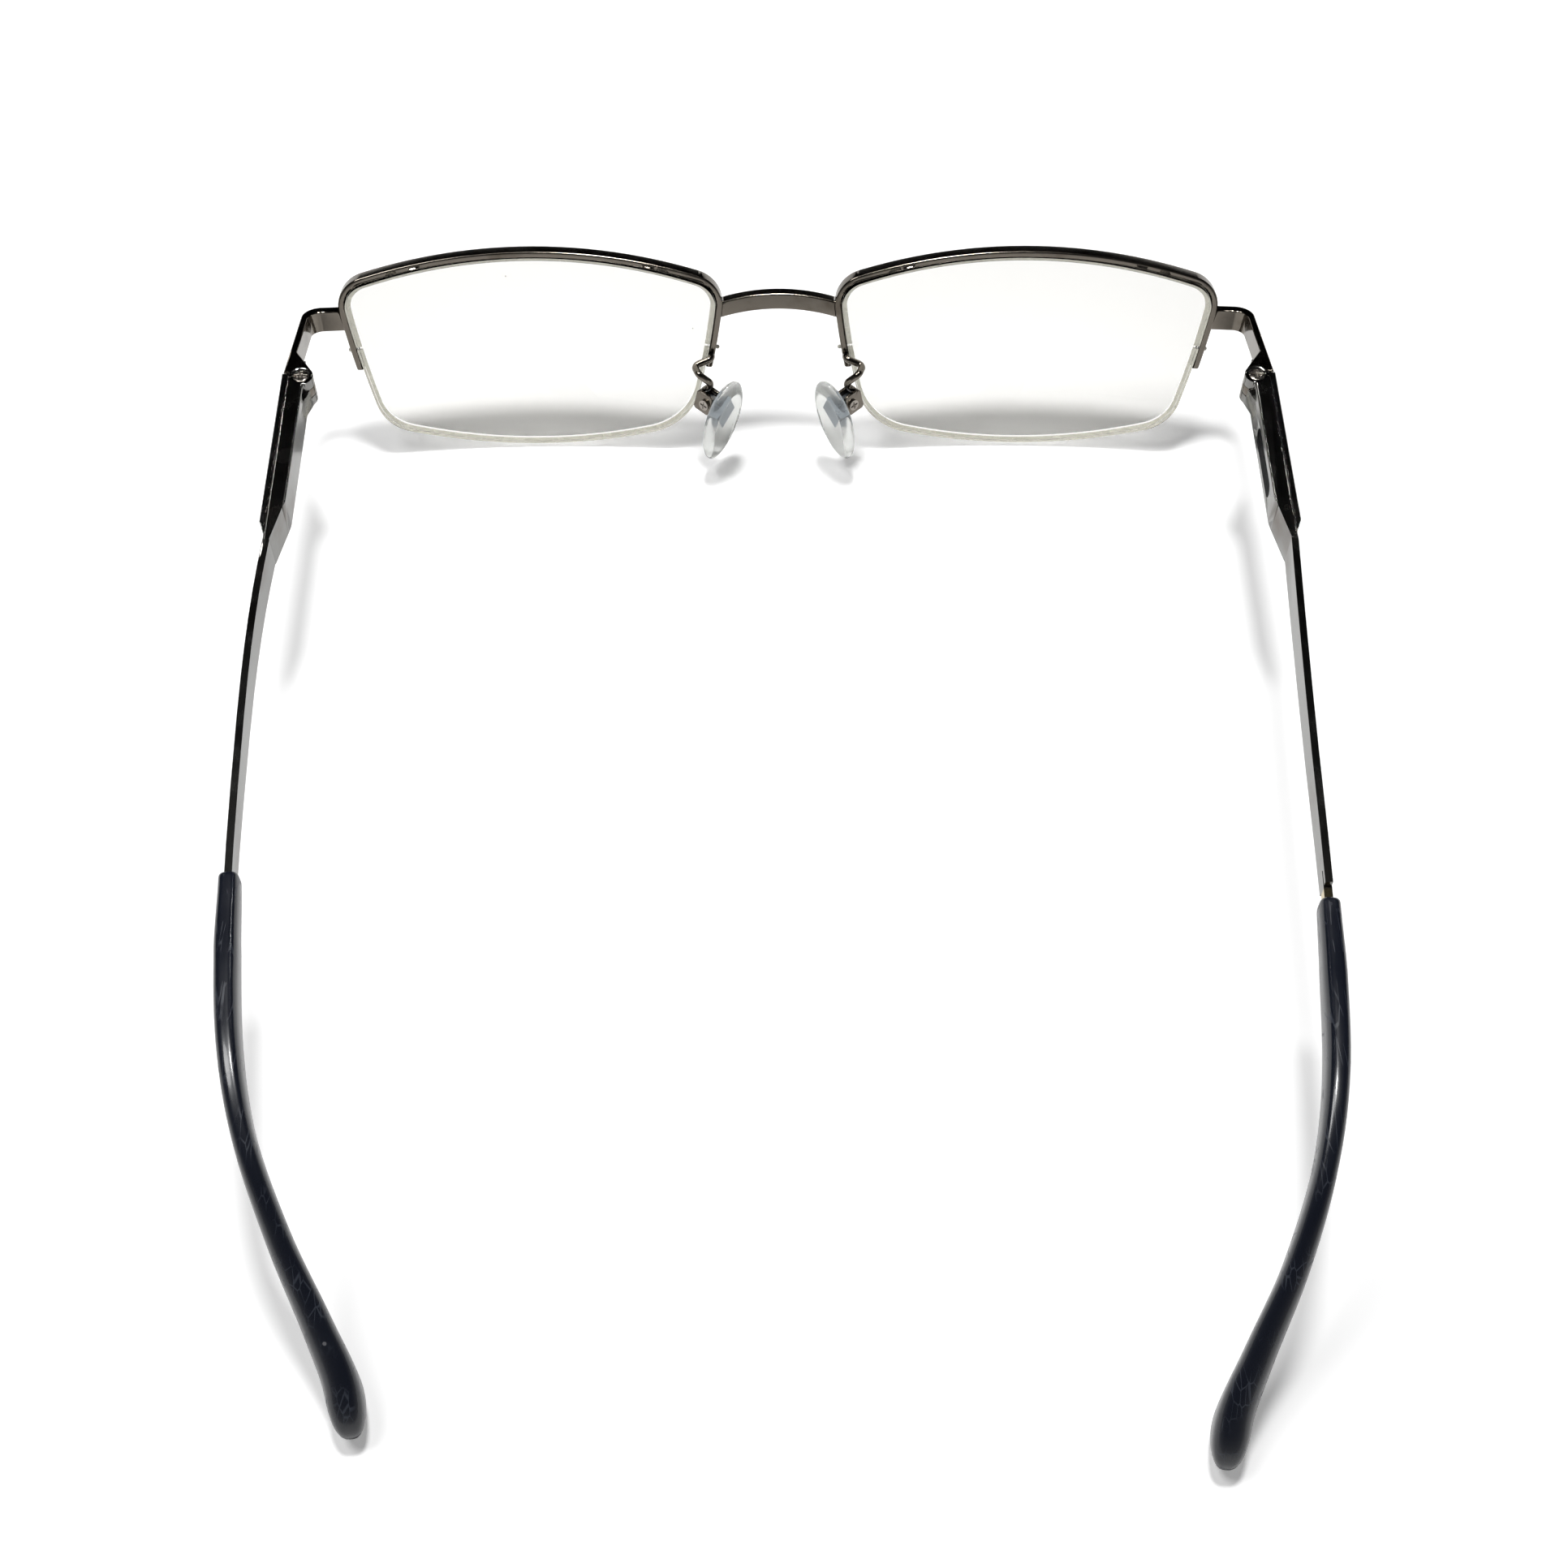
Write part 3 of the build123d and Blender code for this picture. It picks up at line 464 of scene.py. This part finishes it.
def makeSleeve(side, material):
    node = side + "_temple_tip"
    hinge = Vector(joints[side + "_temple_fold"]["pos_m"])
    floorZ = cadBox[0][2]
    slip = sleeve["slip"][side]
    turn = radians(sleeve["bendAngle"])
    mouth = sleeve["mouth"]
    straight = sleeve["bendStart"] - mouth
    middleZ = hinge.z / mm
    drop = middleZ - floorZ / mm - sleeve["bendRadius"] * (1 - cos(turn)) - sleeve["endRadius"]
    length = straight + sleeve["bendRadius"] * turn + drop / sin(turn) + sleeve["endRadius"]
    lean = sleeve["lean"][side]
    outX = abs(hinge.x) / mm
    plan = [(back, outX + x + lean * shift) for (x, back), shift in zip(sleeve["line"], sleeve["shifts"])]
    widths = [(back, w) for (x, back), w in zip(sleeve["line"], sleeve["widths"])]
    tall = [(i / 4 * (length - sleeve["endRadius"]), h) for i, h in enumerate(sleeve["heights"])]

    def station(run):
        angle = min(max(run - straight, 0) / sleeve["bendRadius"], turn)
        past = max(run - straight - sleeve["bendRadius"] * turn, 0)
        back = mouth + min(run, straight) + sleeve["bendRadius"] * sin(angle) + past * cos(turn)
        z = middleZ - sleeve["bendRadius"] * (1 - cos(angle)) - past * sin(turn)
        return Vector((smoothBetween(plan, back), -back, z)), back

    bm = bmesh.new()
    bmesh.ops.create_circle(bm, cap_ends=False, segments=sleeve["ringPoints"], radius=1.0)
    for vert in bm.verts:        # from a circle to a ring with flatter sides
        power = sleeve["squareness"]
        vert.co /= (abs(vert.co.x) ** power + abs(vert.co.y) ** power) ** (1 / power)
    ring, edges = list(bm.verts), list(bm.edges)
    bmesh.ops.contextual_create(bm, geom=edges)
    before = Matrix.Identity(4)
    count = sleeve["stations"]
    for step in range(count + 1):
        run = 0.5 * length * (1 - cos(pi * step / count))
        place, back = station(run)
        ahead = (station(run + 0.1)[0] - station(run - 0.1)[0]).normalized()
        planNormal = Vector((-ahead.y, ahead.x, 0)).normalized()
        sideNormal = Vector((0, ahead.z, -ahead.y)).normalized()
        up = ahead.cross(planNormal).normalized()
        across = sideNormal.cross(ahead).normalized()
        toEnd = max(length - run, 0.0) / (sleeve["endReach"] * sleeve["endRadius"])
        toMouth = run / sleeve["mouthRound"]
        endShrink = sqrt(max(1 - max(1 - toEnd, 0) ** sleeve["endFullness"], sleeve["endShare"]))
        mouthRise = (1 - sleeve["mouthShare"]) * sqrt(1 - max(1 - toMouth, 0) ** 2)
        shrink = endShrink * (sleeve["mouthShare"] + mouthRise)
        wide = between(widths, back) / 2 * shrink / across.dot(planNormal)
        high = between(tall, run) / 2 * shrink / up.dot(sideNormal)
        basis = Matrix((across, up, ahead)).transposed().to_4x4()
        after = Matrix.Translation(place) @ basis @ Matrix.Diagonal((wide, high, 1.0, 1.0))
        if step:
            made = bmesh.ops.extrude_edge_only(bm, edges=edges)["geom"]
            ring = [item for item in made if isinstance(item, bmesh.types.BMVert)]
            edges = [item for item in made if isinstance(item, bmesh.types.BMEdge)]
        bmesh.ops.transform(bm, matrix=after @ before.inverted(), verts=ring)
        before = after
    bmesh.ops.contextual_create(bm, geom=edges)
    side2world = Matrix.Diagonal((sides[side] * mm, mm, mm, 1.0))
    slide = Matrix.Translation((0, hinge.y - slip * mm, 0))
    bmesh.ops.transform(bm, matrix=slide @ side2world, verts=bm.verts)
    bmesh.ops.recalc_face_normals(bm, faces=bm.faces)
    return finishPiece(bm, side + "_sleeve", material, node, 50)


pad = {
    "length": 13.8, "width": 7.9, "thickness": 2.5, "standoff": 1.45, "drop": 1.7, "splay": 12.0, "lean": 7.0,
    "dish": 0.5, "dishShare": 0.74, "taper": 0.1, "rings": 64, "segments": 96,
}


def makeNosePad(side, material):
    node = side + "_nose_pad"
    pivot = Vector(joints[side + "_pad_swivel"]["pos_m"])
    across = Vector(joints[side + "_pad_swivel"]["axis"]).normalized()
    up = Vector((-sides[side] * tan(radians(pad["splay"])), tan(radians(pad["lean"])), 1)).normalized()
    facing = across.cross(up) * sides[side]      # towards the nose
    bm = bmesh.new()
    bmesh.ops.create_uvsphere(bm, u_segments=pad["segments"], v_segments=pad["rings"], radius=1.0)
    for vert in bm.verts:
        flat = min(Vector((vert.co.x, vert.co.y)).length, 1.0)
        puff = sqrt(max(1 - flat**3.2, 0.0))
        vert.co.z = puff if vert.co.z > 0 else -puff
        if vert.co.z > 0:        # a shallow dish on the nose side, inside a raised border
            inside = max(0.0, 1 - (flat / pad["dishShare"]) ** 6)
            vert.co.z -= pad["dish"] * inside
        vert.co.x *= 1 - pad["taper"] * (1 - vert.co.y)        # widest in its upper part
    size = Matrix.Diagonal((pad["width"] / 2 * mm, pad["length"] / 2 * mm, pad["thickness"] / 2 * mm, 1.0))
    basis = Matrix((across, up, facing)).transposed().to_4x4()
    middle = pivot + facing * (pad["standoff"] + pad["thickness"] / 2) * mm - up * pad["drop"] * mm
    bmesh.ops.transform(bm, matrix=Matrix.Translation(middle) @ basis @ size, verts=bm.verts)
    bmesh.ops.recalc_face_normals(bm, faces=bm.faces)
    return finishPiece(bm, side + "_pad_silicone", material, node, 60)


print("finishes")
frontMaterial = metalFinish("frontGunmetal", frontMetal)[0]
templeMaterial = templeFinish()
plateMaterial = plateFinish()
screwMaterial = metalFinish("screwSteel", screwMetal)[0]
insertMaterial = metalFinish("insertSteel", insertMetal)[0]
sleeveMaterial = plasticFinish("sleeveAcetate", sleevePlastic)
enamelMaterial = plasticFinish("inlayEnamel", enamelPlastic)
lensMaterial = lensFinish()
nylonMaterial = nylonFinish()
siliconeMaterial = siliconeFinish()

rimEdge = {"width": 0.28 * mm, "segments": 3, "angle": 40, "shortest": 0.02 * mm, "clamp": False}
strapEdge = {"width": 0.16 * mm, "segments": 3, "angle": 40, "shortest": 0.3 * mm, "clamp": False}
blockEdge = {"width": 0.1 * mm, "segments": 2, "angle": 50, "shortest": 0.5 * mm, "clamp": True}
smallEdge = {"width": 0.05 * mm, "segments": 2, "angle": 50, "shortest": 0.12 * mm, "clamp": True}
plateEdge = {"width": 0.12 * mm, "segments": 2, "angle": 50, "shortest": 0.4 * mm, "clamp": True}
finishes = {
    "rim": (frontMaterial, rimEdge), "end_piece": (frontMaterial, strapEdge),
    "front_hinge": (frontMaterial, smallEdge), "pad_arm": (frontMaterial, smallEdge),
    "pad_box": (frontMaterial, smallEdge), "temple": (templeMaterial, blockEdge),
    "temple_hinge": (templeMaterial, smallEdge), "temple_plate": (plateMaterial, plateEdge),
    "hinge_screw": (screwMaterial, smallEdge), "pad_screw": (screwMaterial, smallEdge),
}
plainFinishes = {
    "lens": lensMaterial, "rim_liner": nylonMaterial, "nylon_cord": nylonMaterial,
    "pad_insert": insertMaterial,
}
print("metal pieces")
softenedCopy("bridge", frontMaterial, strapEdge)
for side in sides:
    for piece, (material, edge) in finishes.items():
        softenedCopy(f"{side}_{piece}", material, edge)
    for piece, material in plainFinishes.items():
        nodes[f"{side}_{piece}"].material_slots[0].material = material
    makeSleeve(side, sleeveMaterial)
    makeNosePad(side, siliconeMaterial)
nodes["right_temple_inlay"].material_slots[0].material = enamelMaterial
print("sleeves and pads")


studio = {
    "floor": 3.0, "floorColour": (0.86, 0.86, 0.86), "below": 0.02 * mm,
    "lift": 0.3, "throughLens": 0.1, "near": 0.15, "far": 0.9, "ceiling": 0.02, "horizon": 0.3,
}


def makeFloor():
    # it glows a little for the camera, and fully far off where the lamps fade
    bm = bmesh.new()
    bmesh.ops.create_grid(bm, x_segments=1, y_segments=1, size=studio["floor"])
    place = Matrix.Translation((0, 0, cadBox[0][2] - studio["below"]))
    bmesh.ops.transform(bm, matrix=place, verts=bm.verts)
    mesh = bpy.data.meshes.new("floor")
    bm.to_mesh(mesh)
    bm.free()
    floor = bpy.data.objects.new("floor", mesh)
    bpy.context.scene.collection.objects.link(floor)
    material = bpy.data.materials.new("paleFloor")
    material.use_nodes = True
    tree = material.node_tree
    tree.nodes.clear()
    path = addNode(tree, "ShaderNodeLightPath")
    matte = addNode(tree, "ShaderNodeBsdfDiffuse", {"Color": (*studio["floorColour"], 1.0)})
    glow = addNode(tree, "ShaderNodeEmission", {"Color": (1.0, 1.0, 1.0, 1.0)})
    seen = addNode(tree, "ShaderNodeMath", operation="MULTIPLY_ADD")
    seen.inputs[1].default_value = studio["throughLens"]
    place = addNode(tree, "ShaderNodeNewGeometry")
    reach = addNode(tree, "ShaderNodeVectorMath", operation="LENGTH")
    spread = addNode(tree, "ShaderNodeMapRange", {
        "From Min": studio["near"], "From Max": studio["far"], "To Min": studio["lift"], "To Max": 1.0,
    })
    strength = addNode(tree, "ShaderNodeMath", operation="MULTIPLY")
    total = addNode(tree, "ShaderNodeAddShader")
    end = addNode(tree, "ShaderNodeOutputMaterial")
    tree.links.new(path.outputs["Is Transmission Ray"], seen.inputs[0])
    tree.links.new(path.outputs["Is Camera Ray"], seen.inputs[2])
    tree.links.new(place.outputs["Position"], reach.inputs[0])
    tree.links.new(reach.outputs["Value"], spread.inputs["Value"])
    tree.links.new(seen.outputs["Value"], strength.inputs[0])
    tree.links.new(spread.outputs["Result"], strength.inputs[1])
    tree.links.new(strength.outputs["Value"], glow.inputs["Strength"])
    tree.links.new(matte.outputs["BSDF"], total.inputs[0])
    tree.links.new(glow.outputs["Emission"], total.inputs[1])
    tree.links.new(total.outputs["Shader"], end.inputs["Surface"])
    mesh.materials.append(material)


def makeWorld():
    # pale near the horizon, dark overhead and ahead, and plain white where the camera sees it
    world = bpy.data.worlds.new("studio")
    bpy.context.scene.world = world
    world.use_nodes = True
    tree = world.node_tree
    tree.nodes.clear()
    place = addNode(tree, "ShaderNodeTexCoord")
    split = addNode(tree, "ShaderNodeSeparateXYZ")
    fall = addNode(tree, "ShaderNodeMapRange", {
        "From Min": 0.15, "From Max": 0.55, "To Min": studio["horizon"], "To Max": studio["ceiling"],
    })
    ahead = addNode(tree, "ShaderNodeMapRange", {
        "From Min": 0.0, "From Max": 0.5, "To Min": 1.0, "To Max": 0.0,
    })
    both = addNode(tree, "ShaderNodeMath", operation="MULTIPLY")
    path = addNode(tree, "ShaderNodeLightPath")
    seen = addNode(tree, "ShaderNodeMath", operation="MAXIMUM")
    mix = addNode(tree, "ShaderNodeMix", {"B": 1.0}, data_type="FLOAT")
    back = addNode(tree, "ShaderNodeBackground", {"Color": (1.0, 1.0, 1.0, 1.0)})
    end = addNode(tree, "ShaderNodeOutputWorld")
    tree.links.new(place.outputs["Generated"], split.inputs["Vector"])
    tree.links.new(split.outputs["Z"], fall.inputs["Value"])
    tree.links.new(path.outputs["Is Camera Ray"], seen.inputs[0])
    tree.links.new(path.outputs["Is Transmission Ray"], seen.inputs[1])
    tree.links.new(seen.outputs["Value"], mix.inputs["Factor"])
    tree.links.new(split.outputs["Y"], ahead.inputs["Value"])
    tree.links.new(fall.outputs["Result"], both.inputs[0])
    tree.links.new(ahead.outputs["Result"], both.inputs[1])
    tree.links.new(both.outputs["Value"], mix.inputs["A"])
    tree.links.new(mix.outputs["Result"], back.inputs["Strength"])
    tree.links.new(back.outputs["Background"], end.inputs["Surface"])


lamps = {
    "frontLamp": {"from": (0.0, 0.215, 1.0), "distance": 1.0, "size": 0.15, "power": 6.6},
    "leftLamp": {"from": (-0.4, 0.1, 1.0), "distance": 1.0, "size": 0.36, "power": 3.9},
    "rightEdgeLamp": {"from": (0.5, 0.62, 0.6), "distance": 1.0, "size": 0.03, "power": 0.2},
    "leftEdgeLamp": {"from": (-0.52, 0.65, 0.56), "distance": 1.0, "size": 0.03, "power": 0.2},
}


def makeLamp(name, lamp):
    light = bpy.data.lights.new(name, "AREA")
    light.shape = "DISK"
    light.size = lamp["size"]
    light.energy = lamp["power"]
    shine = bpy.data.objects.new(name, light)
    bpy.context.scene.collection.objects.link(shine)
    towards = Vector(lamp["from"]).normalized()
    turn = towards.to_track_quat("Z", "Y").to_matrix().to_4x4()
    shine.matrix_world = Matrix.Translation(towards * lamp["distance"]) @ turn


camera = {
    "place": (-2.78 * mm, -155.68 * mm, 248.94 * mm), "pitch": 56.33, "yaw": 1.07, "roll": -0.69,
    "lens": 52.27, "sensor": 36.0, "nearest": 0.01,
}


def makeCamera():
    data = bpy.data.cameras.new("camera")
    data.sensor_width = camera["sensor"]
    data.lens = camera["lens"]
    data.clip_start = camera["nearest"]
    eye = bpy.data.objects.new("camera", data)
    bpy.context.scene.collection.objects.link(eye)
    pitch, yaw, roll = (radians(camera[name]) for name in ("pitch", "yaw", "roll"))
    ahead = Vector((sin(yaw) * cos(pitch), cos(yaw) * cos(pitch), -sin(pitch)))
    level = Vector((cos(yaw), -sin(yaw), 0.0))
    down = ahead.cross(level)
    right = level * cos(roll) + down * sin(roll)
    below = down * cos(roll) - level * sin(roll)
    turn = Matrix((right, -below, -ahead)).transposed().to_4x4()
    eye.matrix_world = Matrix.Translation(camera["place"]) @ turn
    bpy.context.scene.camera = eye


makeFloor()
makeWorld()
for name, lamp in lamps.items():
    makeLamp(name, lamp)
makeCamera()
bpy.context.scene.view_settings.view_transform = "Standard"
print("stage, lamps and camera")
